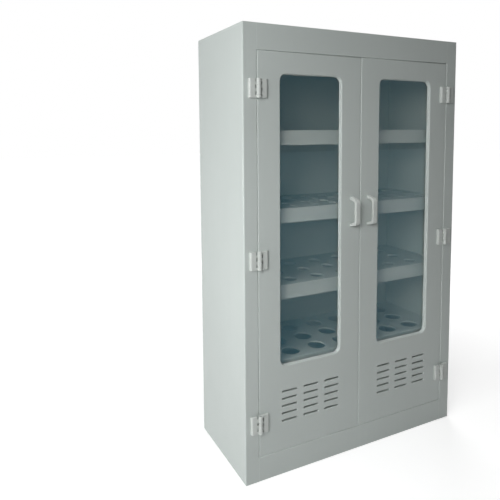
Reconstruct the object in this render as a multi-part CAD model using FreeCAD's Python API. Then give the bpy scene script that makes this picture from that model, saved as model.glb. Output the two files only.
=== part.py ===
import FreeCAD, Part
import math
import os

from FreeCAD import Vector

# Reagent cabinet of welded polypropylene sheet with two glazed doors and perforated shelves.
# Millimetres. +X is to the right, -Y is the front, +Z is up. The origin is the middle of the
# cabinet's plan, on the underside of the middle floor bearer.

# Overall size
WIDTH = 1100.0
DEPTH = 450.0
HEIGHT = 1800.0

# Sheet and front frame
SHEET = 8.0
CORNER_ROUND = 4.0
STILE_WIDTH = 60.0
TOP_RAIL_HEIGHT = 100.0
PLINTH_HEIGHT = 100.0
BEARER_WIDTH = 60.0
BEARER_WALL = 6.0
BEARER_SPACING = 360.0
SILL_HEIGHT = 20.0
STOP_DROP = 20.0

# Doors
DOOR_GAP = 1.5
MEETING_GAP = 3.0
EDGE_CHAMFER = 3.0
STOP_GAP = 0.3
WINDOW_SIDE_MARGIN = 98.5
WINDOW_TOP_MARGIN = 82.5
WINDOW_SILL = 352.5
WINDOW_ROUND = 27.5
GLASS = 5.0
GLASS_LAP = 12.0
GLASS_PLAY = 0.5
GLAZING_FRAME_WIDTH = 30.0
GLAZING_LIP = 3.0
GLAZING_LIP_LAP = 8.0

# Air slots at the foot of each door
SLOT_COLUMNS = 3
SLOT_ROWS = 5
SLOT_LENGTH = 72.0
SLOT_HEIGHT = 7.0
SLOT_END_CUT = 2.0
SLOT_COLUMN_PITCH = 103.5
SLOT_ROW_PITCH = 30.5
SLOT_CENTRE_HEIGHT = 184.0
SLOT_BACKING_MARGIN = 12.0

# Bow handles
HANDLE_INSET = 43.5
HANDLE_CENTRE_HEIGHT = 955.5
HANDLE_SPAN = 128.0
HANDLE_REACH = 46.0
HANDLE_TAPER = 12.0
HANDLE_WIDTH = 22.0
HANDLE_BAR = 13.0
HANDLE_BEND = 20.0

# Hinges
HINGES_PER_DOOR = 3
HINGE_END_OFFSET = 141.0
HINGE_HEIGHT = 72.0
HINGE_REACH = 39.0
HINGE_LEAF = 12.0
HINGE_LEAF_ROOT = 15.0
HINGE_EDGE_CUT = 7.0
HINGE_CORNER_CUT = 4.0
HINGE_AXIS_PROUD = 12.5
BARREL_RADIUS = 9.5
BARREL_SIDES = 12
KNUCKLES = 6
KNUCKLE_PLAY = 0.4
PIN_RADIUS = 3.0
FIXED_BORE_PLAY = 0.02
RUNNING_BORE_PLAY = 0.08

# Magnetic catches at the top of the doors
CATCH_OFFSET = 60.0
CATCH_WIDTH = 46.0
CATCH_HEIGHT = 18.0
CATCH_DEPTH = 18.0
CATCH_FLANGE = 3.0
STRIKE_WIDTH = 40.0
STRIKE_HEIGHT = 14.0
STRIKE_THICKNESS = 2.0

# Shelves: a perforated deck with a deep lip along its front and its back
SHELVES = 4
FIRST_SHELF_TOP = 449.0
SHELF_PITCH = 317.0
SHELF_SETBACK = 60.0
SHELF_LIP = 60.0
SHELF_PLAY = 2.0
CLEAT_WIDTH = 20.0
CLEAT_HEIGHT = 20.0
HOLE_END_MARGIN = 40.0
HOLE_FRONT_MARGIN = 30.0
HOLES_FORWARD = 10.0
# Deck holes: width, number of sides, pitch across, pitch front to back
LARGE_HOLE = (80.0, 16, 135.0, 112.0)
MEDIUM_HOLE = (56.0, 12, 135.0, 112.0)
SMALL_HOLE = (40.0, 8, 100.0, 78.0)
# The holes of each shelf, from the lowest up
SHELF_HOLES = (LARGE_HOLE, MEDIUM_HOLE, SMALL_HOLE, SMALL_HOLE)

# Planes worked out from the sizes above
FRONT = -DEPTH / 2
BACK = DEPTH / 2
FRAME_BACK = FRONT + SHEET
BACK_FACE = BACK - SHEET
SIDE_FACE = WIDTH / 2 - SHEET
OPENING_HALF = WIDTH / 2 - STILE_WIDTH
OPENING_TOP = HEIGHT - TOP_RAIL_HEIGHT
DOOR_WIDTH = OPENING_HALF - MEETING_GAP / 2 - DOOR_GAP
DOOR_BOTTOM = PLINTH_HEIGHT + DOOR_GAP
DOOR_TOP = OPENING_TOP - DOOR_GAP
DOOR_CENTRE = (MEETING_GAP + DOOR_WIDTH) / 2
CORE_FRONT = FRONT + SHEET
CORE_BACK = CORE_FRONT + SHEET
GLASS_BACK = CORE_BACK + GLASS
STOP_FRONT = CORE_BACK + STOP_GAP
STOP_BOTTOM = OPENING_TOP - STOP_DROP
STOP_WEB_BOTTOM = OPENING_TOP + DOOR_GAP
SHELF_FRONT = FRONT + SHELF_SETBACK
DECK_FRONT = SHELF_FRONT + SHEET
SHELF_BACK = BACK_FACE - SHELF_PLAY
SHELF_HALF = SIDE_FACE - SHELF_PLAY
HINGE_AXIS_X = OPENING_HALF - DOOR_GAP / 2
LEFT = -1
RIGHT = 1
SIDE_NAMES = {LEFT: "left", RIGHT: "right"}


def block(x_span, y_span, z_span):
    """A sheet or bar between two planes in each direction."""
    corner = Vector(min(x_span), min(y_span), min(z_span))
    size = [max(span) - min(span) for span in (x_span, y_span, z_span)]
    return Part.makeBox(*size, corner)


def flat_face(points):
    """A flat face with sharp corners."""
    return Part.Face(Part.makePolygon(points + points[:1]))


def prism(centre, radius, sides, height):
    """An upright many-sided rod that fits inside a circle of this radius."""
    turn = 2 * math.pi / sides
    angles = [turn * (i + 0.5) for i in range(sides)]
    points = [centre + Vector(radius * math.cos(a), radius * math.sin(a), 0) for a in angles]
    return flat_face(points).extrude(Vector(0, 0, height))


def outline_face(points, rounds):
    """A flat face whose corners are rounded by the radius given for each, 0 for a sharp one."""
    count = len(points)
    edges = []
    stops = []
    for i, (corner, radius) in enumerate(zip(points, rounds)):
        if radius == 0:
            stops.append((corner, corner))
            continue
        into = (points[i - 1] - corner).normalize()
        out = (points[(i + 1) % count] - corner).normalize()
        half = into.getAngle(out) / 2
        setback = radius / math.tan(half)
        start = corner + into * setback
        end = corner + out * setback
        bisector = (into + out).normalize()
        middle = corner + bisector * (radius / math.sin(half) - radius)
        edges.append(Part.Arc(start, middle, end).toShape())
        stops.append((start, end))
    for i in range(count):
        leave = stops[i][1]
        arrive = stops[(i + 1) % count][0]
        if leave.distanceToPoint(arrive) > 1e-6:
            edges.append(Part.makeLine(leave, arrive))
    return Part.Face(Part.Wire(Part.__sortEdges__(edges)))


def rounded_sheet(x_span, y_span, z_span, radius):
    """An upright sheet, thick along Y, with its four corners rounded."""
    x0, x1 = min(x_span), max(x_span)
    y0, y1 = min(y_span), max(y_span)
    z0, z1 = min(z_span), max(z_span)
    corners = [Vector(x0, y0, z0), Vector(x1, y0, z0), Vector(x1, y0, z1), Vector(x0, y0, z1)]
    return outline_face(corners, [radius] * 4).extrude(Vector(0, y1 - y0, 0))


def cut_cornered_sheet(x_span, y_span, z_span, cut):
    """An upright sheet, thick along Y, with its four corners cut off at 45 degrees."""
    x0, x1 = min(x_span), max(x_span)
    y0, y1 = min(y_span), max(y_span)
    z0, z1 = min(z_span), max(z_span)
    outline = [
        (x0 + cut, z0), (x1 - cut, z0), (x1, z0 + cut), (x1, z1 - cut),
        (x1 - cut, z1), (x0 + cut, z1), (x0, z1 - cut), (x0, z0 + cut),
    ]
    return flat_face([Vector(x, y0, z) for x, z in outline]).extrude(Vector(0, y1 - y0, 0))


def edges_in_front_plane(shape):
    return [e for e in shape.Edges if all(abs(v.Y - FRONT) < 1e-6 for v in e.Vertexes)]


def spread(centre, pitch, count):
    """Places of equal pitch about a centre."""
    return [centre + pitch * (i - (count - 1) / 2) for i in range(count)]


def span_about(centre, width):
    return (centre - width / 2, centre + width / 2)


def grown(span, margin):
    return (min(span) - margin, max(span) + margin)


def mirrored(side, near, far):
    """A span of X on the left or right half, from two distances to the middle plane."""
    return (side * near, side * far)


# Carcass

def side_panel(side):
    return block(mirrored(side, SIDE_FACE, WIDTH / 2), (FRAME_BACK, BACK), (0, HEIGHT - SHEET))


def opening_chamfer():
    """What the chamfer round the door opening takes off the stiles, the top rail and the plinth."""
    x0, x1 = grown((-OPENING_HALF, OPENING_HALF), EDGE_CHAMFER)
    z0, z1 = grown((PLINTH_HEIGHT, OPENING_TOP), EDGE_CHAMFER)
    return Part.makeWedge(
        x0, FRONT, z0, PLINTH_HEIGHT, -OPENING_HALF,
        x1, FRONT + EDGE_CHAMFER, z1, OPENING_TOP, OPENING_HALF,
    )


def front_stile(side):
    """Upright of the front frame, with the cabinet's front corner rounded on it."""
    inner, outer = mirrored(side, OPENING_HALF, WIDTH / 2)
    plan = [
        Vector(inner, FRONT, 0),
        Vector(outer, FRONT, 0),
        Vector(outer, FRAME_BACK, 0),
        Vector(inner, FRAME_BACK, 0),
    ]
    stile = outline_face(plan, [0, CORNER_ROUND, 0, 0]).extrude(Vector(0, 0, HEIGHT))
    return stile.cut(opening_chamfer())


def front_rail(z_span):
    return block((-OPENING_HALF, OPENING_HALF), (FRONT, FRAME_BACK), z_span).cut(opening_chamfer())


def top_panel():
    return block((-WIDTH / 2, WIDTH / 2), (FRAME_BACK, BACK), (HEIGHT - SHEET, HEIGHT))


def back_panel():
    return block((-SIDE_FACE, SIDE_FACE), (BACK_FACE, BACK), (0, HEIGHT - SHEET))


def floor_panel():
    z_span = (PLINTH_HEIGHT - SHEET, PLINTH_HEIGHT)
    return block((-SIDE_FACE, SIDE_FACE), (FRAME_BACK, BACK_FACE), z_span)


def floor_bearer(centre_x):
    """Box section from the plinth to the back panel, under the floor."""
    y_span = (FRAME_BACK, BACK_FACE)
    x_span = span_about(centre_x, BEARER_WIDTH)
    z_span = (0, PLINTH_HEIGHT - SHEET)
    hollow = block(grown(x_span, -BEARER_WALL), y_span, grown(z_span, -BEARER_WALL))
    return block(x_span, y_span, z_span).cut(hollow)


def floor_sill():
    """Upstand that keeps a spill inside and stops the feet of the doors."""
    z_span = (PLINTH_HEIGHT, PLINTH_HEIGHT + SILL_HEIGHT)
    return block((-SIDE_FACE, SIDE_FACE), (STOP_FRONT, STOP_FRONT + SHEET), z_span)


def door_stop():
    """Angle behind the top rail that the heads of the doors close against."""
    stop_back = STOP_FRONT + SHEET
    section = [
        (FRAME_BACK, STOP_WEB_BOTTOM),
        (STOP_FRONT, STOP_WEB_BOTTOM),
        (STOP_FRONT, STOP_BOTTOM),
        (stop_back, STOP_BOTTOM),
        (stop_back, STOP_WEB_BOTTOM + SHEET),
        (FRAME_BACK, STOP_WEB_BOTTOM + SHEET),
    ]
    points = [Vector(-SIDE_FACE, y, z) for y, z in section]
    return flat_face(points).extrude(Vector(2 * SIDE_FACE, 0, 0))


def magnet_catch(side):
    """Magnet block under the stop, with a flange screwed up behind it."""
    stop_back = STOP_FRONT + SHEET
    section = [
        (STOP_FRONT, STOP_BOTTOM),
        (STOP_FRONT, STOP_BOTTOM - CATCH_HEIGHT),
        (STOP_FRONT + CATCH_DEPTH, STOP_BOTTOM - CATCH_HEIGHT),
        (STOP_FRONT + CATCH_DEPTH, STOP_BOTTOM),
        (stop_back + CATCH_FLANGE, STOP_BOTTOM),
        (stop_back + CATCH_FLANGE, STOP_WEB_BOTTOM),
        (stop_back, STOP_WEB_BOTTOM),
        (stop_back, STOP_BOTTOM),
    ]
    start = side * CATCH_OFFSET - CATCH_WIDTH / 2
    points = [Vector(start, y, z) for y, z in section]
    return flat_face(points).extrude(Vector(CATCH_WIDTH, 0, 0))


# Shelves

def shelf_top(level):
    return FIRST_SHELF_TOP + SHELF_PITCH * level


def fitting_count(length, size, margin, pitch):
    """How many holes of one size and pitch fit along a length with a margin at both ends."""
    return int((length - size - 2 * margin) / pitch) + 1


def shelf_deck(level):
    """Perforated sheet. The holes let air rise past the bottles and a spill drain down."""
    width, sides, pitch_x, pitch_y = SHELF_HOLES[level]
    top = shelf_top(level)
    deck = block((-SHELF_HALF, SHELF_HALF), (DECK_FRONT, SHELF_BACK), (top - SHEET, top))
    columns = fitting_count(2 * SHELF_HALF, width, HOLE_END_MARGIN, pitch_x)
    rows = fitting_count(SHELF_BACK - DECK_FRONT, width, HOLE_FRONT_MARGIN, pitch_y)
    middle_y = (SHELF_FRONT + SHELF_BACK) / 2 - HOLES_FORWARD
    holes = [
        prism(Vector(x, y, top - SHEET), width / 2, sides, SHEET)
        for x in spread(0, pitch_x, columns)
        for y in spread(middle_y, pitch_y, rows)
    ]
    return deck.cut(holes)


def shelf_lip(level):
    top = shelf_top(level)
    return block((-SHELF_HALF, SHELF_HALF), (SHELF_FRONT, DECK_FRONT), (top - SHELF_LIP, top))


def shelf_back_lip(level):
    top = shelf_top(level)
    z_span = (top - SHELF_LIP, top - SHEET)
    return block((-SHELF_HALF, SHELF_HALF), (SHELF_BACK - SHEET, SHELF_BACK), z_span)


def shelf_cleats(side):
    """The strips on one side panel that carry the ends of the decks, between their two lips."""
    y_span = (DECK_FRONT + SHELF_PLAY, SHELF_BACK - SHEET - SHELF_PLAY)
    x_span = mirrored(side, SIDE_FACE - CLEAT_WIDTH, SIDE_FACE)
    cleats = []
    for level in range(SHELVES):
        underside = shelf_top(level) - SHEET
        cleats.append(block(x_span, y_span, (underside - CLEAT_HEIGHT, underside)))
    return Part.makeCompound(cleats)


# Doors

def door_span(side):
    return span_about(side * DOOR_CENTRE, DOOR_WIDTH)


def window(side, y_span, margin):
    """The window's outline, grown by a margin, as a solid to add or to cut."""
    x_span = grown(door_span(side), margin - WINDOW_SIDE_MARGIN)
    z_span = grown((DOOR_BOTTOM + WINDOW_SILL, DOOR_TOP - WINDOW_TOP_MARGIN), margin)
    return rounded_sheet(x_span, y_span, z_span, WINDOW_ROUND + margin)


def door_face(side):
    """Front sheet with chamfered edges, the window and the rows of air slots."""
    y_span = (FRONT, CORE_FRONT)
    slots = [
        cut_cornered_sheet(
            span_about(x, SLOT_LENGTH), y_span, span_about(z, SLOT_HEIGHT), SLOT_END_CUT
        )
        for x in spread(side * DOOR_CENTRE, SLOT_COLUMN_PITCH, SLOT_COLUMNS)
        for z in spread(DOOR_BOTTOM + SLOT_CENTRE_HEIGHT, SLOT_ROW_PITCH, SLOT_ROWS)
    ]
    sheet = block(door_span(side), y_span, (DOOR_BOTTOM, DOOR_TOP)).cut(window(side, y_span, 0))
    return sheet.makeChamfer(EDGE_CHAMFER, edges_in_front_plane(sheet)).cut(slots)


def strike_span(side):
    return span_about(side * CATCH_OFFSET, STRIKE_WIDTH)


def strike_plate(side):
    """Steel plate let into the back of the door, flush with it, opposite the magnet."""
    z_span = span_about(STOP_BOTTOM - CATCH_HEIGHT / 2, STRIKE_HEIGHT)
    return block(strike_span(side), (CORE_BACK - STRIKE_THICKNESS, CORE_BACK), z_span)


def door_core(side):
    """Back sheet, welded to the face, open behind the slots and recessed for the strike."""
    y_span = (CORE_FRONT, CORE_BACK)
    slot_field_x = SLOT_COLUMN_PITCH * (SLOT_COLUMNS - 1) + SLOT_LENGTH + 2 * SLOT_BACKING_MARGIN
    slot_field_z = SLOT_ROW_PITCH * (SLOT_ROWS - 1) + SLOT_HEIGHT + 2 * SLOT_BACKING_MARGIN
    slot_field = block(
        span_about(side * DOOR_CENTRE, slot_field_x),
        y_span,
        span_about(DOOR_BOTTOM + SLOT_CENTRE_HEIGHT, slot_field_z),
    )
    sheet = block(door_span(side), y_span, (DOOR_BOTTOM, DOOR_TOP))
    return sheet.cut([window(side, y_span, 0), slot_field, strike_plate(side)])


def door_glass(side):
    """Pane bedded on the back of the door, inside the clamping frame."""
    return window(side, (CORE_BACK, GLASS_BACK), GLASS_LAP)


def glazing_frame(side):
    """Clamping frame behind the pane, with a rebate for the pane and a lip over its edge."""
    y_span = (CORE_BACK, GLASS_BACK + GLAZING_LIP)
    x_span = grown(door_span(side), GLAZING_FRAME_WIDTH - WINDOW_SIDE_MARGIN)
    window_z = (DOOR_BOTTOM + WINDOW_SILL, DOOR_TOP - WINDOW_TOP_MARGIN)
    ring = block(x_span, y_span, grown(window_z, GLAZING_FRAME_WIDTH))
    rebate = window(side, (CORE_BACK, GLASS_BACK), GLASS_LAP + GLASS_PLAY)
    return ring.cut([rebate, window(side, y_span, GLASS_LAP - GLAZING_LIP_LAP)])


def door_handle(side):
    """Bow handle: a flat bar bent out from two feet, with its legs leaning together."""
    centre_x = side * (MEETING_GAP / 2 + HANDLE_INSET)
    centre_z = DOOR_BOTTOM + HANDLE_CENTRE_HEIGHT
    foot = HANDLE_SPAN / 2
    grip = foot - HANDLE_TAPER
    lean = math.atan2(HANDLE_TAPER, HANDLE_REACH)
    inner_foot = foot - HANDLE_BAR / math.cos(lean)
    inner_reach = HANDLE_REACH - HANDLE_BAR
    inner_grip = inner_foot - inner_reach * math.tan(lean)
    section = [
        (0, -foot), (-HANDLE_REACH, -grip), (-HANDLE_REACH, grip), (0, foot),
        (0, inner_foot), (-inner_reach, inner_grip), (-inner_reach, -inner_grip), (0, -inner_foot),
    ]
    inner_bend = HANDLE_BEND - HANDLE_BAR
    rounds = [0, HANDLE_BEND, HANDLE_BEND, 0, 0, inner_bend, inner_bend, 0]
    x = centre_x - HANDLE_WIDTH / 2
    points = [Vector(x, FRONT + y, centre_z + z) for y, z in section]
    return outline_face(points, rounds).extrude(Vector(HANDLE_WIDTH, 0, 0))


# Hinges

def hinge_centres():
    return spread(
        (DOOR_BOTTOM + DOOR_TOP) / 2,
        (DOOR_TOP - DOOR_BOTTOM - 2 * HINGE_END_OFFSET) / (HINGES_PER_DOOR - 1),
        HINGES_PER_DOOR,
    )


def hinge_leaf(side, reach_side, centre_z, bore_play):
    """Leaf on one side of the pin, with every other knuckle of the barrel.

    The leaf that reaches left has the lowest knuckle, the one that reaches right the highest.
    The bore has as many sides as the barrel, and its flats clear the pin by the play.
    """
    axis_x = side * HINGE_AXIS_X
    axis_y = FRONT - HINGE_AXIS_PROUD
    plate_front = FRONT - HINGE_LEAF
    bottom = centre_z - HINGE_HEIGHT / 2
    root = axis_x + reach_side * HINGE_LEAF_ROOT
    tip = axis_x + reach_side * HINGE_REACH
    edge = tip - reach_side * HINGE_EDGE_CUT
    plan = [
        Vector(root, FRONT, bottom),
        Vector(root, plate_front, bottom),
        Vector(edge, plate_front, bottom),
        Vector(tip, plate_front + HINGE_EDGE_CUT, bottom),
        Vector(tip, FRONT, bottom),
    ]
    plate = flat_face(plan).extrude(Vector(0, 0, HINGE_HEIGHT))
    trim_x = (axis_x - reach_side * HINGE_REACH, tip)
    trim_z = (bottom, bottom + HINGE_HEIGHT)
    plate = plate.common(cut_cornered_sheet(trim_x, (plate_front, FRONT), trim_z, HINGE_CORNER_CUT))
    pitch = HINGE_HEIGHT / KNUCKLES
    first = 0 if reach_side == LEFT else 1
    pieces = []
    bore_radius = (PIN_RADIUS + bore_play) / math.cos(math.pi / BARREL_SIDES)
    for i in range(first, KNUCKLES, 2):
        low = bottom + pitch * i + (KNUCKLE_PLAY / 2 if i > 0 else 0)
        high = bottom + pitch * (i + 1) - (KNUCKLE_PLAY / 2 if i < KNUCKLES - 1 else 0)
        barrel = prism(Vector(axis_x, axis_y, low), BARREL_RADIUS, BARREL_SIDES, high - low)
        web_back = axis_y + BARREL_RADIUS * math.cos(math.pi / BARREL_SIDES)
        web = block((axis_x, root), (plate_front, web_back), (low, high))
        pieces.append(barrel.fuse(web))
    foot = Vector(axis_x, axis_y, bottom)
    bore = prism(foot, bore_radius, BARREL_SIDES, HINGE_HEIGHT)
    return plate.fuse(pieces).removeSplitter().cut(bore)


def hinge_pins(side):
    """The pins of one door's hinges, fixed in the frame leaves' knuckles."""
    pins = []
    for centre_z in hinge_centres():
        foot = Vector(side * HINGE_AXIS_X, FRONT - HINGE_AXIS_PROUD, centre_z - HINGE_HEIGHT / 2)
        pins.append(Part.makeCylinder(PIN_RADIUS, HINGE_HEIGHT, foot))
    return Part.makeCompound(pins)


def cabinet():
    """Every piece of the cabinet by its node's name."""
    parts = {
        "top_rail": front_rail((OPENING_TOP, HEIGHT)),
        "plinth": front_rail((0, PLINTH_HEIGHT)),
        "top_panel": top_panel(),
        "back_panel": back_panel(),
        "floor_panel": floor_panel(),
        "floor_bearer_left": floor_bearer(-BEARER_SPACING),
        "floor_bearer_middle": floor_bearer(0),
        "floor_bearer_right": floor_bearer(BEARER_SPACING),
        "floor_sill": floor_sill(),
        "door_stop": door_stop(),
    }
    for level in range(SHELVES):
        parts[f"shelf_{level + 1}_deck"] = shelf_deck(level)
        parts[f"shelf_{level + 1}_lip"] = shelf_lip(level)
        parts[f"shelf_{level + 1}_back_lip"] = shelf_back_lip(level)
    for side, name in SIDE_NAMES.items():
        parts[f"{name}_side_panel"] = side_panel(side)
        parts[f"{name}_front_stile"] = front_stile(side)
        parts[f"{name}_shelf_cleats"] = shelf_cleats(side)
        parts[f"{name}_magnet_catch"] = magnet_catch(side)
        parts[f"{name}_door_face"] = door_face(side)
        parts[f"{name}_door_core"] = door_core(side)
        parts[f"{name}_door_glass"] = door_glass(side)
        parts[f"{name}_glazing_frame"] = glazing_frame(side)
        parts[f"{name}_strike_plate"] = strike_plate(side)
        parts[f"{name}_door_handle"] = door_handle(side)
        parts[f"{name}_hinge_pins"] = hinge_pins(side)
        for i, centre_z in enumerate(hinge_centres()):
            frame_leaf = hinge_leaf(side, side, centre_z, FIXED_BORE_PLAY)
            door_leaf = hinge_leaf(side, -side, centre_z, RUNNING_BORE_PLAY)
            parts[f"{name}_hinge_{i + 1}_frame_leaf"] = frame_leaf
            parts[f"{name}_hinge_{i + 1}_door_leaf"] = door_leaf
    return parts


os.makedirs("parts", exist_ok=True)
for node, shape in cabinet().items():
    shape.exportStep(f"parts/{node}.step")
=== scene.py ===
"""Looks of a glazed polypropylene reagent cabinet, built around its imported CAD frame.

Metres, in the CAD frame: +X is to the right, -Y is the front, +Z is up.
"""

import math

import bmesh
import bpy
from mathutils import Matrix, Vector


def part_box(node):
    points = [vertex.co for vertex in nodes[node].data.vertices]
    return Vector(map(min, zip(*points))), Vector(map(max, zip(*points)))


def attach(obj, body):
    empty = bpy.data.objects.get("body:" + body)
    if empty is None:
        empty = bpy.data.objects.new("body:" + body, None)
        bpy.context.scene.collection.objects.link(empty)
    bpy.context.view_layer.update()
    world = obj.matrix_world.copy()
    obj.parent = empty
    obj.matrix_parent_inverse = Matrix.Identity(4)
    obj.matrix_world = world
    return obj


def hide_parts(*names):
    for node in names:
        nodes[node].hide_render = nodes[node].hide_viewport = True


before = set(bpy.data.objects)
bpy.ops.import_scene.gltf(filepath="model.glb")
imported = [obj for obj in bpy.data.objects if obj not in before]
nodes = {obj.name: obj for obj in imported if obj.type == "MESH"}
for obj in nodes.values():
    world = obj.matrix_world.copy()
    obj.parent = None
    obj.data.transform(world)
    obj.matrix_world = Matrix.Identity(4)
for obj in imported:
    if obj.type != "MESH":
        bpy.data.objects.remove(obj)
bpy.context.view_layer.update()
scene = bpy.context.scene

SIDES = {"left": -1, "right": 1}
SHELVES = (1, 2, 3, 4)
HINGES = (1, 2, 3)

# Camera, fitted to the photograph
CAMERA_PLACE = Vector((-1.3822, -1.9461, 1.3894))
CAMERA_YAW = 0.46328
CAMERA_PITCH = -0.08157
CAMERA_ROLL = -0.0075
CAMERA_LENS = 36.816
CAMERA_SENSOR = 36
CAMERA_SHIFT = (0.0, -0.15)

# Door sheets. The shown sheet stands EDGE_SWELL into the gap all round, so that the seams look
# nearly as thin as in the photograph.
DOOR_FRONT = -0.225
EDGE_CHAMFER = 0.003
EDGE_SWELL = 0.0010
WINDOW_MARGIN = 0.0985
WINDOW_TOP_MARGIN = 0.0825
WINDOW_SILL = 0.3525
WINDOW_ROUND = 0.0275
SLOT_SIZE = (0.072, 0.007)
SLOT_PITCH = (0.1035, 0.0305)
SLOT_COUNT = (3, 5)
SLOT_CENTRE_HEIGHT = 0.184
SLOT_CHAMFER = 0.0018
SLOT_END_ROUND = 0.98  # of half the slot's height, so that each end keeps a short flat

# Silicone fillet round the panes: its leg, and the hidden edge under the sheet and in the pane
SEALANT_LEG = 0.0014
SEALANT_ROOT = (-0.0006, 0.0008)
SEALANT_STEPS = 5

# Handles
HANDLE_REACH = 0.046
HANDLE_TAPER = 0.012
HANDLE_BAR = 0.013
HANDLE_BEND = 0.020
HANDLE_INNER_BEND = HANDLE_BEND - HANDLE_BAR + 0.003
HANDLE_EDGE = 0.0030
HANDLE_EDGE_STEPS = 4

# Hinges: leaf
HINGE_LEAF = 0.012
HINGE_ROOT = 0.015
HINGE_REACH = 0.039
HINGE_NOSE = 0.007
HINGE_CORNER = 0.004
TRIM_SPARE = 0.01  # how far the tool that rounds the leaf's corners runs past the leaf
TRIM_DEPTH = 0.03
TRIM_EDGE = 0.0002

# Hinges: knuckles, and the web from each knuckle to its leaf
HINGE_AXIS = (0.48925, -0.2375)
BARREL_RADIUS = 0.0095
BARREL_STEPS = 40
BORE_RADIUS = 0.00305
KNUCKLES = 6
KNUCKLE_PLAY = 0.0004
KNUCKLE_EDGE = 0.0005
WEB_BACK_ANGLE = math.pi / 12
WEB_OVERLAP = 0.0015
WEB_SETBACK = 0.0003

# Decks: hole width, pitch across, pitch front to back, columns, rows
DECK_HOLES = {
    1: (0.080, 0.135, 0.112, 7, 3),
    2: (0.056, 0.135, 0.112, 7, 3),
    3: (0.040, 0.100, 0.078, 10, 4),
    4: (0.040, 0.100, 0.078, 10, 4),
}
DECK_HOLE_CENTRE_Y = 0.015

# Softened edges
SHEET_EDGE = 0.0006
MOULDED_EDGE = 0.0009
CHAMFER_TURN = 0.7  # of the edge, between a chamfer and the face beside it
STEEPEST_CORNER = 0.3  # keeps an inset short at a very sharp corner
SAME_CORNER = 1e-5

# Edges that turn by more degrees than this stay sharp, or are bevelled
SHARP_ANGLE = 50
HINGE_SHARP_ANGLE = 40
BEVEL_ANGLE = 35

# How finely curves are cut
CORNER_STEPS = 6
SLOT_STEPS = 5
BEND_STEPS = 10
WINDOW_STEPS = 14
BORE_STEPS = 24
HOLE_STEPS = 64

# Colours, as linear red, green and blue
BODY_COLOUR = (0.556, 0.606, 0.585)
SHELF_COLOUR = (0.550, 0.590, 0.575)
MOULDED_COLOUR = (0.600, 0.635, 0.610)
PIN_COLOUR = (0.62, 0.62, 0.61)
STRIKE_COLOUR = (0.56, 0.56, 0.55)
GLASS_TINTS = ((0.84, 0.84, 0.84, 1), (0.86, 0.86, 0.86, 1))
GLASS_SHEEN = (0.16, 0.72, 1.0, 1.0)
GLASS_SHADOW = (0.60, 0.635, 0.61, 1.0)
SEALANT_TINTS = ((0.60, 0.65, 0.64, 1), (0.68, 0.73, 0.72, 1))
WHITE = (1, 1, 1, 1)

# Indices of refraction
PLASTIC_IOR = 1.49
GLASS_IOR = 1.5
SILICONE_IOR = 1.43

# The part of a noise's range that is spread out, for coarse and for fine patterns
COARSE = (0.35, 0.65)
FINE = (0.3, 0.7)
UNIT = (0, 1)

# Cosine of the turn at an edge where the paler edge starts to show, and where it shows in full:
# part worked edge, part painted light on shaded chamfers and seams
PALE_AND_LIT_EDGE_TURN = (0.995, 0.88)
PALE_AND_LIT_EDGE_SAMPLES = 4

# The colour sockets of a Mix node
MIX_FIRST, MIX_SECOND, MIX_RESULT = 6, 7, 2

# Lamps: place, the point it is aimed at, size, power in watts, spread in degrees
LAMPS = {
    "key": ((-2.25, -1.95, 1.75), (0.0, -0.2, 0.8), (2.0, 1.2), 31, 180),
    "focus": ((-2.3, -2.0, 2.15), (-0.35, -0.2, 0.5), (0.8, 0.8), 6.0, 80),
    "side_fill": ((-3.2, 0.2, 1.3), (-0.55, 0.0, 0.9), (2.0, 2.2), 39.5, 180),
    "top": ((0.0, -0.42, 4.2), (0.0, -0.42, 0.0), (1.6, 0.3), 30, 180),
    "back_fill": ((1.9, 2.6, 1.9), (0.2, 0.2, 0.9), (2.0, 2.0), 60, 180),
}

# World: its light from overhead, how high that starts, and how bright it is by way of gloss
OVERHEAD = 0.03
OVERHEAD_FROM = 0.6
WORLD_GLOSS = 0.55

# Floor: its tones, and its glow near the cabinet and far from it
FLOOR_HALF = 30
FLOOR_CELLS = 8
FLOOR_TONES = (0.66, 0.70)
FLOOR_NOISE = 3
FLOOR_ROUGHNESS = 0.9
FLOOR_SPECULAR = 0.1
FLOOR_GLOSS = 0.72
FLOOR_GLOW = (0.58, 1.0)
FLOOR_GLOW_DISTANCE = (1.0, 4.5)


# Outlines


def rounded(points, radii, steps=CORNER_STEPS):
    """The outline through these corners, each rounded by its own radius."""
    outline = []
    count = len(points)
    for i, (corner, radius) in enumerate(zip(points, radii)):
        here = Vector(corner)
        if radius == 0:
            outline.append(here)
            continue
        into = (Vector(points[i - 1]) - here).normalized()
        out = (Vector(points[(i + 1) % count]) - here).normalized()
        half = into.angle(out) / 2
        start = here + into * (radius / math.tan(half))
        middle = here + (into + out).normalized() * (radius / math.sin(half))
        sweep = math.pi - 2 * half
        turn = into.x * out.y - into.y * out.x
        for k in range(steps + 1):
            spin = Matrix.Rotation(-math.copysign(sweep, turn) * k / steps, 2)
            outline.append(middle + spin @ (start - middle))
    return outline


def rectangle(low, high, radius=0.0, steps=CORNER_STEPS):
    """A rounded rectangle, counter-clockwise."""
    points = [(low[0], low[1]), (high[0], low[1]), (high[0], high[1]), (low[0], high[1])]
    return rounded(points, [radius] * 4, steps)


def circle(centre, radius, steps):
    turns = [2 * math.pi * k / steps for k in range(steps)]
    return [
        Vector((centre[0] + radius * math.cos(a), centre[1] + radius * math.sin(a)))
        for a in turns
    ]


def area(outline):
    """The outline's area, positive where it runs counter-clockwise."""
    return sum(a.x * b.y - b.x * a.y for a, b in zip(outline, outline[1:] + outline[:1])) / 2


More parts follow.
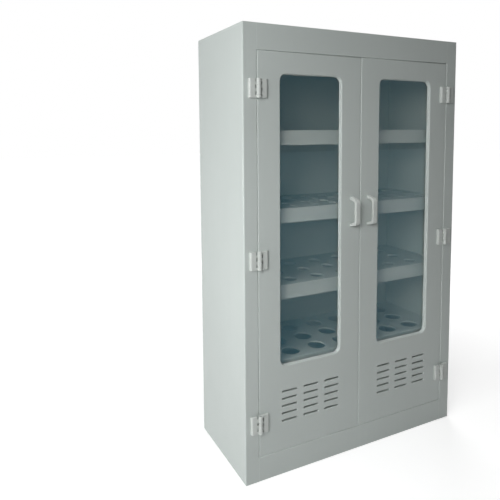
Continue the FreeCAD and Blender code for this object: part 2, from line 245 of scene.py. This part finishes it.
def inset(outline, distance):
    """The outline moved towards its left by this distance."""
    moved = []
    count = len(outline)
    for i, here in enumerate(outline):
        before = (here - outline[i - 1]).normalized()
        after = (outline[(i + 1) % count] - here).normalized()
        normal = Vector((-before.y - after.y, before.x + after.x)).normalized()
        lean = normal.dot(Vector((-after.y, after.x)))
        moved.append(here + normal * (distance / max(lean, STEEPEST_CORNER)))
    return moved


def spread(centre, pitch, count):
    """Evenly spaced places about a centre."""
    return [centre + pitch * (i - (count - 1) / 2) for i in range(count)]


def window_outline(side):
    """The window's edge in the door's sheet, in X and Z."""
    low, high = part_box(f"{side}_door_face")
    return rectangle(
        (low.x + WINDOW_MARGIN, low.z + WINDOW_SILL),
        (high.x - WINDOW_MARGIN, high.z - WINDOW_TOP_MARGIN),
        WINDOW_ROUND,
        WINDOW_STEPS,
    )


# Meshes


def slab(outer, holes, thickness, edge, steps=2, chamfers=()):
    """A sheet with softly rounded edges, its outline in X and Y and its thickness along Z from 0.

    The first outlines, in the order outer, holes, can have a 45 degree chamfer on the Z = 0 side.
    """
    loops = [outer if area(outer) > 0 else outer[::-1]]
    loops += [hole if area(hole) < 0 else hole[::-1] for hole in holes]
    soft = []
    for k in range(steps + 1):
        a = math.pi / 2 * k / steps
        soft.append((edge * (1 - math.sin(a)), edge * (1 - math.cos(a))))
    bm = bmesh.new()
    caps = ([], [])
    for i, loop in enumerate(loops):
        start = soft
        if i < len(chamfers):
            cut, turn = chamfers[i], CHAMFER_TURN * edge
            start = [(cut + edge, 0), (cut - turn, turn), (turn, cut - turn), (0, cut + edge)]
        levels = start + [(shrink, thickness - z) for shrink, z in reversed(soft)]
        rings = []
        for shrink, z in levels:
            ring = inset(loop, shrink)
            rings.append([bm.verts.new((p.x, p.y, z)) for p in ring])
        count = len(loop)
        for low, high in zip(rings, rings[1:]):
            for j in range(count):
                k = (j + 1) % count
                bm.faces.new((low[j], low[k], high[k], high[j]))
        for cap, ring in zip(caps, (rings[0], rings[-1])):
            cap += [bm.edges.get((ring[j], ring[(j + 1) % count])) for j in range(count)]
    for cap, facing in zip(caps, (-1, 1)):
        bmesh.ops.triangle_fill(bm, use_beauty=True, edges=cap, normal=(0, 0, facing))
    bmesh.ops.recalc_face_normals(bm, faces=bm.faces)
    return bm


def along_y(x, y, z):
    """Puts a slab's X and Y outline in the X, Z plane, with its thickness towards +Y."""
    turn = Matrix(((1, 0, 0, 0), (0, 0, 1, 0), (0, 1, 0, 0), (0, 0, 0, 1)))
    return Matrix.Translation((x, y, z)) @ turn


def along_x(x, y, z):
    """Puts a slab's X and Y outline in the Y, Z plane, with its thickness towards +X."""
    turn = Matrix(((0, 0, 1, 0), (1, 0, 0, 0), (0, 1, 0, 0), (0, 0, 0, 1)))
    return Matrix.Translation((x, y, z)) @ turn


def mesh_of(bm, name, place=None):
    """A mesh from bm, moved to its place, with smooth faces and sharp edges kept."""
    if place is not None:
        bmesh.ops.transform(bm, matrix=place, verts=bm.verts)
    bmesh.ops.recalc_face_normals(bm, faces=bm.faces)
    mesh = bpy.data.meshes.new(name)
    bm.to_mesh(mesh)
    bm.free()
    mesh.shade_smooth()
    mesh.set_sharp_from_angle(angle=math.radians(SHARP_ANGLE))
    return mesh


def piece(mesh, body, material, stands_for=()):
    """A shown piece that rides on a body."""
    shown = bpy.data.objects.new(mesh.name, mesh)
    scene.collection.objects.link(shown)
    mesh.materials.clear()
    mesh.materials.append(material)
    weighted = shown.modifiers.new("flat_faces_stay_flat", "WEIGHTED_NORMAL")
    weighted.keep_sharp = True
    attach(shown, body)
    if stands_for:
        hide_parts(*stands_for)


def joined(first, others, operation):
    """The mesh of first after each of the others is joined to it or kept in common with it."""
    base = bpy.data.objects.new("base", first)
    scene.collection.objects.link(base)
    tools = []
    for mesh in others:
        tool = bpy.data.objects.new("tool", mesh)
        scene.collection.objects.link(tool)
        modifier = base.modifiers.new("join", "BOOLEAN")
        modifier.operation = operation
        modifier.solver = "EXACT"
        modifier.object = tool
        tools.append(tool)
    bpy.context.view_layer.update()
    graph = bpy.context.evaluated_depsgraph_get()
    result = bpy.data.meshes.new_from_object(base.evaluated_get(graph))
    for spare in [base] + tools:
        spare_mesh = spare.data
        bpy.data.objects.remove(spare)
        bpy.data.meshes.remove(spare_mesh)
    return result


# Materials


class Finish:
    """A node material with one Principled shader, and short ways to add the nodes that feed it."""

    def __init__(self, name):
        self.material = bpy.data.materials.new(name)
        self.material.use_nodes = True
        self.tree = self.material.node_tree
        self.shader = next(n for n in self.tree.nodes if n.type == "BSDF_PRINCIPLED")
        self.output = next(n for n in self.tree.nodes if n.type == "OUTPUT_MATERIAL")
        self.coordinates = self.add("ShaderNodeTexCoord").outputs["Object"]

    def add(self, kind, **settings):
        node = self.tree.nodes.new(kind)
        for name, value in settings.items():
            setattr(node, name, value)
        return node

    def put(self, socket, value):
        if isinstance(value, bpy.types.NodeSocket):
            self.tree.links.new(value, socket)
        else:
            socket.default_value = value

    def set(self, **values):
        for name, value in values.items():
            self.put(self.shader.inputs[name.replace("_", " ")], value)

    def noise(self, scale, detail, stretch=(1, 1, 1), roughness=0.5):
        mapping = self.add("ShaderNodeMapping")
        self.put(mapping.inputs["Vector"], self.coordinates)
        mapping.inputs["Scale"].default_value = stretch
        noise = self.add("ShaderNodeTexNoise")
        self.put(noise.inputs["Vector"], mapping.outputs["Vector"])
        noise.inputs["Scale"].default_value = scale
        noise.inputs["Detail"].default_value = detail
        noise.inputs["Roughness"].default_value = roughness
        return noise.outputs["Fac"]

    def spread(self, value, old, new=UNIT):
        """The value, taken from its old range to a new one and held inside it."""
        node = self.add("ShaderNodeMapRange")
        node.inputs["From Min"].default_value = old[0]
        node.inputs["From Max"].default_value = old[1]
        node.inputs["To Min"].default_value = new[0]
        node.inputs["To Max"].default_value = new[1]
        self.put(node.inputs["Value"], value)
        return node.outputs["Result"]

    def mix(self, factor, first, second):
        node = self.add("ShaderNodeMix", data_type="RGBA")
        self.put(node.inputs["Factor"], factor)
        self.put(node.inputs[MIX_FIRST], first)
        self.put(node.inputs[MIX_SECOND], second)
        return node.outputs[MIX_RESULT]

    def bump(self, height, distance, strength, under=None):
        node = self.add("ShaderNodeBump")
        node.inputs["Strength"].default_value = strength
        node.inputs["Distance"].default_value = distance
        self.put(node.inputs["Height"], height)
        if under is not None:
            self.put(node.inputs["Normal"], under)
        return node.outputs["Normal"]

    def pale_and_lit_edges(self, radius, most):
        """0 on flat faces, and up to this much on edges: paler worked edges, and painted light
        that lifts the shade on chamfers and in seams.
        """
        bevel = self.add("ShaderNodeBevel", samples=PALE_AND_LIT_EDGE_SAMPLES)
        bevel.inputs["Radius"].default_value = radius
        geometry = self.add("ShaderNodeNewGeometry")
        dot = self.add("ShaderNodeVectorMath", operation="DOT_PRODUCT")
        self.put(dot.inputs[0], bevel.outputs["Normal"])
        self.put(dot.inputs[1], geometry.outputs["Normal"])
        return self.spread(self.spread(dot.outputs["Value"], PALE_AND_LIT_EDGE_TURN), UNIT, (0.0, most))


def tone(colour, factor):
    return (*[min(1.0, c * factor) for c in colour], 1.0)


def sheet_finish(name, colour, roughness):
    """Extruded polypropylene sheet: satin, faintly drawn along its length, edges painted paler:
    part worked edge, part painted light.
    """
    f = Finish(name)
    drift = f.spread(f.noise(scale=1.7, detail=2.0), COARSE)
    drawn = f.spread(f.noise(scale=9.0, detail=4.0, stretch=(6.0, 6.0, 0.35)), FINE)
    grain = f.spread(f.noise(scale=620.0, detail=2.0), FINE)
    base = f.mix(drift, tone(colour, 0.972), tone(colour, 1.022))
    base = f.mix(f.spread(drawn, UNIT, (0.0, 0.45)), base, tone(colour, 0.978))
    base = f.mix(f.spread(grain, UNIT, (0.0, 0.5)), base, tone(colour, 1.03))
    # Paler edges: part the worked cut edge, part painted light that lifts the shade on chamfers
    # and in the seams
    base = f.mix(f.pale_and_lit_edges(radius=0.0022, most=0.75), base, tone(colour, 1.28))
    handled = f.noise(scale=5.5, detail=5.0, roughness=0.62)
    gloss = f.spread(handled, (0.35, 0.7), (roughness - 0.05, roughness + 0.08))
    waves = f.bump(f.noise(scale=3.2, detail=1.0), distance=0.0035, strength=0.16)
    normal = f.bump(grain, distance=0.00006, strength=0.30, under=waves)
    f.set(Base_Color=base, Roughness=gloss, Normal=normal, IOR=PLASTIC_IOR)
    return f.material


def moulded_finish(name, colour):
    """Injection-moulded polypropylene: a soft sheen over a fine spark texture."""
    f = Finish(name)
    drift = f.spread(f.noise(scale=22.0, detail=2.0), COARSE)
    spark = f.spread(f.noise(scale=1500.0, detail=2.0), FINE)
    base = f.mix(drift, tone(colour, 0.965), tone(colour, 1.02))
    # Edges painted paler by the same mask that paints light onto the sheet's edges
    base = f.mix(f.pale_and_lit_edges(radius=0.0010, most=0.5), base, tone(colour, 1.12))
    gloss = f.spread(f.noise(scale=60.0, detail=4.0), FINE, (0.30, 0.42))
    normal = f.bump(spark, distance=0.00004, strength=0.35)
    f.set(Base_Color=base, Roughness=gloss, Normal=normal, IOR=PLASTIC_IOR)
    return f.material


def glass_finish(name):
    """Clear float glass with a blue-green surface reflection, wiped but not spotless.

    Light from the lamps passes straight through it, dimmed.
    """
    f = Finish(name)
    smears = f.noise(scale=7.0, detail=5.0, stretch=(1.0, 1.0, 0.4), roughness=0.6)
    film = f.spread(smears, (0.45, 0.8), (0.0, 0.03))
    tint = f.mix(f.spread(f.noise(scale=2.0, detail=1.0), FINE), *GLASS_TINTS)
    f.set(Base_Color=tint, Roughness=film, IOR=GLASS_IOR, Transmission_Weight=1.0)
    f.set(Specular_Tint=GLASS_SHEEN)
    clear = f.add("ShaderNodeBsdfTransparent")
    clear.inputs["Color"].default_value = GLASS_SHADOW
    path = f.add("ShaderNodeLightPath")
    choose = f.add("ShaderNodeMixShader")
    f.put(choose.inputs[0], path.outputs["Is Shadow Ray"])
    f.put(choose.inputs[1], f.shader.outputs[0])
    f.put(choose.inputs[2], clear.outputs[0])
    f.put(f.output.inputs["Surface"], choose.outputs[0])
    return f.material


def steel_finish(name, colour, roughness, stretch):
    """Stainless steel, brushed or drawn along one direction."""
    f = Finish(name)
    lines = f.spread(f.noise(scale=260.0, detail=3.0, stretch=stretch), FINE)
    base = f.mix(lines, tone(colour, 0.9), tone(colour, 1.08))
    gloss = f.spread(lines, UNIT, (roughness - 0.05, roughness + 0.08))
    normal = f.bump(lines, distance=0.00003, strength=0.5)
    f.set(Base_Color=base, Roughness=gloss, Metallic=1.0, Normal=normal)
    return f.material


def sealant_finish(name):
    """Clear-grey silicone, tooled by hand."""
    f = Finish(name)
    tooled = f.spread(f.noise(scale=85.0, detail=3.0), FINE)
    base = f.mix(tooled, *SEALANT_TINTS)
    gloss = f.spread(tooled, UNIT, (0.25, 0.4))
    normal = f.bump(tooled, distance=0.0003, strength=0.5)
    f.set(Base_Color=base, Roughness=gloss, Normal=normal, IOR=SILICONE_IOR)
    f.set(Subsurface_Weight=0.15, Subsurface_Radius=(0.004, 0.004, 0.004))
    return f.material


body_sheet = sheet_finish("body_sheet_satin_pp", BODY_COLOUR, roughness=0.40)
shelf_sheet = sheet_finish("shelf_sheet_satin_pp", SHELF_COLOUR, roughness=0.45)
moulded = moulded_finish("moulded_pp", MOULDED_COLOUR)
glass = glass_finish("float_glass")
pin_steel = steel_finish("drawn_stainless_rod", PIN_COLOUR, 0.28, stretch=(1, 1, 0.05))
strike_steel = steel_finish("brushed_stainless_plate", STRIKE_COLOUR, 0.34, stretch=(0.05, 1, 1))
sealant = sealant_finish("silicone_sealant")
SLOT_FINISHES = {
    "body_sheet": body_sheet,
    "shelf_sheet": shelf_sheet,
    "moulded_white": moulded,
    "window_glass": glass,
    "pin_steel": pin_steel,
    "strike_steel": strike_steel,
}


# Pieces


def dress_cad_nodes():
    """Gives each CAD node its finish, and softens the edges of all but the glass and the pins."""
    for node in nodes.values():
        slot = node.data.materials[0].name
        for place in node.material_slots:
            place.material = SLOT_FINISHES[slot]
        if slot in ("window_glass", "pin_steel"):
            continue
        one_skin = node.modifiers.new("one_skin", "WELD")
        one_skin.merge_threshold = SAME_CORNER
        soften = node.modifiers.new("soft_edges", "BEVEL")
        soften.width = SHEET_EDGE
        soften.segments = 2
        soften.limit_method = "ANGLE"
        soften.angle_limit = math.radians(BEVEL_ANGLE)


def door_face(side):
    """The door's front sheet, with the window's true round corners and round-ended air slots."""
    low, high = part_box(f"{side}_door_face")
    half_x, half_z = SLOT_SIZE[0] / 2, SLOT_SIZE[1] / 2
    end_round = half_z * SLOT_END_ROUND
    slots = [
        rectangle((x - half_x, z - half_z), (x + half_x, z + half_z), end_round, SLOT_STEPS)
        for x in spread((low.x + high.x) / 2, SLOT_PITCH[0], SLOT_COUNT[0])
        for z in spread(low.z + SLOT_CENTRE_HEIGHT, SLOT_PITCH[1], SLOT_COUNT[1])
    ]
    outline = rectangle(
        (low.x - EDGE_SWELL, low.z - EDGE_SWELL), (high.x + EDGE_SWELL, high.z + EDGE_SWELL)
    )
    holes = [window_outline(side)] + slots
    chamfers = [EDGE_CHAMFER, EDGE_CHAMFER] + [SLOT_CHAMFER] * len(slots)
    bm = slab(outline, holes, high.y - low.y, SHEET_EDGE, chamfers=chamfers)
    mesh = mesh_of(bm, f"{side}_door_face_sheet", along_y(0, low.y, 0))
    piece(mesh, f"{side}_door", body_sheet, [f"{side}_door_face"])


def door_sealant(side):
    """Silicone fillet in the corner between the window's edge and the pane."""
    outline = window_outline(side)
    pane_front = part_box(f"{side}_door_glass")[0].y
    sections = [SEALANT_ROOT]
    for k in range(SEALANT_STEPS + 1):
        a = math.pi / 2 * k / SEALANT_STEPS
        sections.append((SEALANT_LEG * (1 - math.cos(a)), -SEALANT_LEG * (1 - math.sin(a))))
    bm = bmesh.new()
    rings = []
    for shift, depth in sections:
        ring = inset(outline, shift)
        rings.append([bm.verts.new((p.x, pane_front + depth, p.y)) for p in ring])
    count = len(outline)
    for low, high in zip(rings, rings[1:] + rings[:1]):
        for i in range(count):
            j = (i + 1) % count
            bm.faces.new((low[i], low[j], high[j], high[i]))
    mesh = mesh_of(bm, f"{side}_window_sealant")
    piece(mesh, f"{side}_door", sealant)


def door_handle(side):
    """Bow handle with rounded edges, its legs leaning together."""
    low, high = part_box(f"{side}_door_handle")
    foot = (high.z - low.z) / 2
    centre_z = (high.z + low.z) / 2
    grip = foot - HANDLE_TAPER
    lean = math.atan2(HANDLE_TAPER, HANDLE_REACH)
    inner_foot = foot - HANDLE_BAR / math.cos(lean)
    inner_reach = HANDLE_REACH - HANDLE_BAR
    inner_grip = inner_foot - inner_reach * math.tan(lean)
    corners = [
        (0, -foot),
        (-HANDLE_REACH, -grip),
        (-HANDLE_REACH, grip),
        (0, foot),
        (0, inner_foot),
        (-inner_reach, inner_grip),
        (-inner_reach, -inner_grip),
        (0, -inner_foot),
    ]
    radii = [0, HANDLE_BEND, HANDLE_BEND, 0, 0, HANDLE_INNER_BEND, HANDLE_INNER_BEND, 0]
    section = rounded(corners, radii, BEND_STEPS)
    bm = slab(section, [], high.x - low.x, HANDLE_EDGE, HANDLE_EDGE_STEPS)
    mesh = mesh_of(bm, f"{side}_bow_handle", along_x(low.x, DOOR_FRONT, centre_z))
    piece(mesh, f"{side}_door", moulded, [f"{side}_door_handle"])


def leaf_plate(low, high, root, tip, reach):
    """A leaf's flat plate, with a rounded nose and rounded corners along its free edge."""
    front = DOOR_FRONT - HINGE_LEAF
    plan = rounded(
        [(root, DOOR_FRONT), (root, front), (tip, front), (tip, DOOR_FRONT)],
        [0, 0, HINGE_NOSE, 0],
    )
    bar = slab(plan, [], high.z - low.z, MOULDED_EDGE)
    plate = mesh_of(bar, "plate", Matrix.Translation((0, 0, low.z)))
    behind = root - reach * TRIM_SPARE
    outline = rounded(
        [(behind, low.z - TRIM_SPARE), (tip, low.z), (tip, high.z), (behind, high.z + TRIM_SPARE)],
        [0, HINGE_CORNER, HINGE_CORNER, 0],
    )
    trim = slab(outline, [], TRIM_DEPTH, TRIM_EDGE, steps=1)
    return joined(plate, [mesh_of(trim, "trim", along_y(0, front - TRIM_SPARE, 0))], "INTERSECT")


def knuckle_profile(axis_x, axis_y, root, reach):
    """A knuckle's section in X and Y: round about the axis, with a web to the leaf's root."""
    front = DOOR_FRONT - HINGE_LEAF
    web_front = front - axis_y
    web_back = BARREL_RADIUS * math.cos(WEB_BACK_ANGLE)
    start = math.atan2(web_front, math.sqrt(BARREL_RADIUS**2 - web_front**2))
    stop = math.atan2(web_back, math.sqrt(BARREL_RADIUS**2 - web_back**2)) - 2 * math.pi
    profile = []
    for k in range(BARREL_STEPS + 1):
        a = start + (stop - start) * k / BARREL_STEPS
        x = axis_x + reach * BARREL_RADIUS * math.cos(a)
        profile.append(Vector((x, axis_y + BARREL_RADIUS * math.sin(a))))
    inner = root + reach * WEB_OVERLAP
    profile += [Vector((inner, axis_y + web_back)), Vector((inner, front + WEB_SETBACK))]
    profile[0] = Vector((profile[0].x, front + WEB_SETBACK))
    return profile


def hinge_leaf(node, body, side, reach):
    """A moulded leaf with round knuckles: the leaf that reaches left has the lowest knuckle."""
    low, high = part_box(node)
    axis_x, axis_y = side * HINGE_AXIS[0], HINGE_AXIS[1]
    root, tip = axis_x + reach * HINGE_ROOT, axis_x + reach * HINGE_REACH
    plate = leaf_plate(low, high, root, tip, reach)
    profile = knuckle_profile(axis_x, axis_y, root, reach)
    bore = circle((axis_x, axis_y), BORE_RADIUS, BORE_STEPS)
    pitch = (high.z - low.z) / KNUCKLES
    first = 0 if reach < 0 else 1
    knuckles = []
    for i in range(first, KNUCKLES, 2):
        bottom = low.z + pitch * i + (KNUCKLE_PLAY / 2 if i > 0 else 0)
        top = low.z + pitch * (i + 1) - (KNUCKLE_PLAY / 2 if i < KNUCKLES - 1 else 0)
        bm = slab(profile, [bore], top - bottom, KNUCKLE_EDGE)
        knuckles.append(mesh_of(bm, "knuckle", Matrix.Translation((0, 0, bottom))))
    mesh = joined(plate, knuckles, "UNION")
    mesh.name = node + "_moulding"
    mesh.shade_smooth()
    mesh.set_sharp_from_angle(angle=math.radians(HINGE_SHARP_ANGLE))
    piece(mesh, body, moulded, [node])


def shelf_deck(number):
    """Perforated sheet with round holes, their edges softened."""
    node = f"shelf_{number}_deck"
    low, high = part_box(node)
    width, pitch_x, pitch_y, columns, rows = DECK_HOLES[number]
    holes = [
        circle((x, y), width / 2, HOLE_STEPS)
        for x in spread(0, pitch_x, columns)
        for y in spread(DECK_HOLE_CENTRE_Y, pitch_y, rows)
    ]
    bm = slab(rectangle((low.x, low.y), (high.x, high.y)), holes, high.z - low.z, SHEET_EDGE)
    mesh = mesh_of(bm, f"shelf_{number}_perforated_deck", Matrix.Translation((0, 0, low.z)))
    piece(mesh, "carcass", shelf_sheet, [node])


dress_cad_nodes()
for side, sign in SIDES.items():
    door_face(side)
    door_sealant(side)
    door_handle(side)
    for number in HINGES:
        hinge_leaf(f"{side}_hinge_{number}_frame_leaf", "carcass", sign, sign)
        hinge_leaf(f"{side}_hinge_{number}_door_leaf", f"{side}_door", sign, -sign)
for number in SHELVES:
    shelf_deck(number)


# Camera


def photograph_camera():
    """The photograph's camera. From straight ahead, yaw turns it right and pitch tips it up."""
    forward = Vector(
        (
            math.sin(CAMERA_YAW) * math.cos(CAMERA_PITCH),
            math.cos(CAMERA_YAW) * math.cos(CAMERA_PITCH),
            math.sin(CAMERA_PITCH),
        )
    )
    level = Vector((math.cos(CAMERA_YAW), -math.sin(CAMERA_YAW), 0))
    over = level.cross(forward)
    right = math.cos(CAMERA_ROLL) * level + math.sin(CAMERA_ROLL) * over
    up = math.cos(CAMERA_ROLL) * over - math.sin(CAMERA_ROLL) * level
    data = bpy.data.cameras.new("camera")
    data.sensor_width = CAMERA_SENSOR
    data.lens = CAMERA_LENS
    data.shift_x, data.shift_y = CAMERA_SHIFT
    camera = bpy.data.objects.new("camera", data)
    scene.collection.objects.link(camera)
    turn = Matrix((right, up, -forward)).transposed().to_4x4()
    camera.matrix_world = Matrix.Translation(CAMERA_PLACE) @ turn
    scene.camera = camera


# Light and surroundings


def panel_light(name, place, target, size, power, spread_deg):
    """A soft white panel, kept out of reflections."""
    data = bpy.data.lights.new(name, "AREA")
    data.spread = math.radians(spread_deg)
    data.shape = "RECTANGLE"
    data.size, data.size_y = size
    data.energy = power
    lamp = bpy.data.objects.new(name, data)
    scene.collection.objects.link(lamp)
    lamp.visible_glossy = False
    way = Vector(target) - Vector(place)
    turn = way.to_track_quat("-Z", "Y").to_matrix().to_4x4()
    lamp.matrix_world = Matrix.Translation(place) @ turn


class RayMath:
    """Short ways to build numbers out of what a ray has been through."""

    def __init__(self, tree):
        self.tree = tree
        self.path = tree.nodes.new("ShaderNodeLightPath").outputs

    def do(self, operation, first, second):
        node = self.tree.nodes.new("ShaderNodeMath")
        node.operation = operation
        for socket, value in zip(node.inputs, (first, second)):
            if isinstance(value, float):
                socket.default_value = value
            else:
                self.tree.links.new(value, socket)
        return node.outputs[0]

    def been(self, depth):
        """1 for rays that have had this kind of bounce, 0 for the others."""
        return self.do("GREATER_THAN", self.path[depth], 0.5)

    def none(self, depth):
        """1 for rays that haven't had this kind of bounce, 0 for the others."""
        return self.do("LESS_THAN", self.path[depth], 0.5)

    def seen_directly(self, by_gloss):
        """1 for rays from the camera, by_gloss for those by way of gloss, 0 for rays of light."""
        total = self.do("MAXIMUM", self.path["Is Camera Ray"], self.path["Is Glossy Ray"])
        total = self.do("MAXIMUM", total, self.path["Is Transmission Ray"])
        dim = self.do("MULTIPLY", self.been("Glossy Depth"), self.do("SUBTRACT", 1.0, by_gloss))
        total = self.do("SUBTRACT", total, dim)
        total = self.do("MAXIMUM", total, 0.0)
        return self.do("MULTIPLY", total, self.none("Diffuse Depth"))


def smooth_ramp(tree, value, ranges):
    """The value, taken smoothly from one range to another."""
    ramp = tree.nodes.new("ShaderNodeMapRange")
    ramp.interpolation_type = "SMOOTHSTEP"
    for name, limit in ranges.items():
        ramp.inputs[name].default_value = limit
    tree.links.new(value, ramp.inputs["Value"])
    return ramp.outputs["Result"]


def surroundings():
    """A white studio that lights the object only a little, and only from overhead."""
    world = bpy.data.worlds.new("studio")
    world.use_nodes = True
    scene.world = world
    tree = world.node_tree
    rays = RayMath(tree)
    way = tree.nodes.new("ShaderNodeTexCoord")
    parts = tree.nodes.new("ShaderNodeSeparateXYZ")
    tree.links.new(way.outputs["Generated"], parts.inputs[0])
    light = smooth_ramp(tree, parts.outputs["Z"], {"From Min": OVERHEAD_FROM, "To Max": OVERHEAD})
    total = rays.do("MAXIMUM", light, rays.seen_directly(WORLD_GLOSS))
    tree.links.new(total, tree.nodes["Background"].inputs["Strength"])
    tree.nodes["Background"].inputs["Color"].default_value = WHITE


def floor():
    """A pale floor that looks white, but less so near the cabinet, so that its shadow shows."""
    bm = bmesh.new()
    bmesh.ops.create_grid(bm, x_segments=FLOOR_CELLS, y_segments=FLOOR_CELLS, size=FLOOR_HALF)
    mesh = bpy.data.meshes.new("floor")
    bm.to_mesh(mesh)
    bm.free()
    ground = bpy.data.objects.new("floor", mesh)
    scene.collection.objects.link(ground)
    material = bpy.data.materials.new("pale_floor")
    material.use_nodes = True
    tree = material.node_tree
    shader = next(n for n in tree.nodes if n.type == "BSDF_PRINCIPLED")
    noise = tree.nodes.new("ShaderNodeTexNoise")
    noise.inputs["Scale"].default_value = FLOOR_NOISE
    tones = tree.nodes.new("ShaderNodeMapRange")
    tones.inputs["To Min"].default_value, tones.inputs["To Max"].default_value = FLOOR_TONES
    tree.links.new(noise.outputs["Fac"], tones.inputs["Value"])
    tree.links.new(tones.outputs["Result"], shader.inputs["Base Color"])
    shader.inputs["Roughness"].default_value = FLOOR_ROUGHNESS
    shader.inputs["Specular IOR Level"].default_value = FLOOR_SPECULAR
    shader.inputs["Emission Color"].default_value = WHITE
    rays = RayMath(tree)
    distance = tree.nodes.new("ShaderNodeVectorMath")
    distance.operation = "LENGTH"
    place = tree.nodes.new("ShaderNodeTexCoord").outputs["Object"]
    tree.links.new(place, distance.inputs[0])
    near, far = FLOOR_GLOW_DISTANCE
    near_glow, far_glow = FLOOR_GLOW
    ranges = {"From Min": near, "From Max": far, "To Min": near_glow, "To Max": far_glow}
    glow = smooth_ramp(tree, distance.outputs["Value"], ranges)
    seen = rays.seen_directly(FLOOR_GLOSS)
    tree.links.new(rays.do("MULTIPLY", seen, glow), shader.inputs["Emission Strength"])
    mesh.materials.append(material)


photograph_camera()
for name, settings in LAMPS.items():
    panel_light(name, *settings)
surroundings()
floor()
scene.view_settings.view_transform = "Standard"
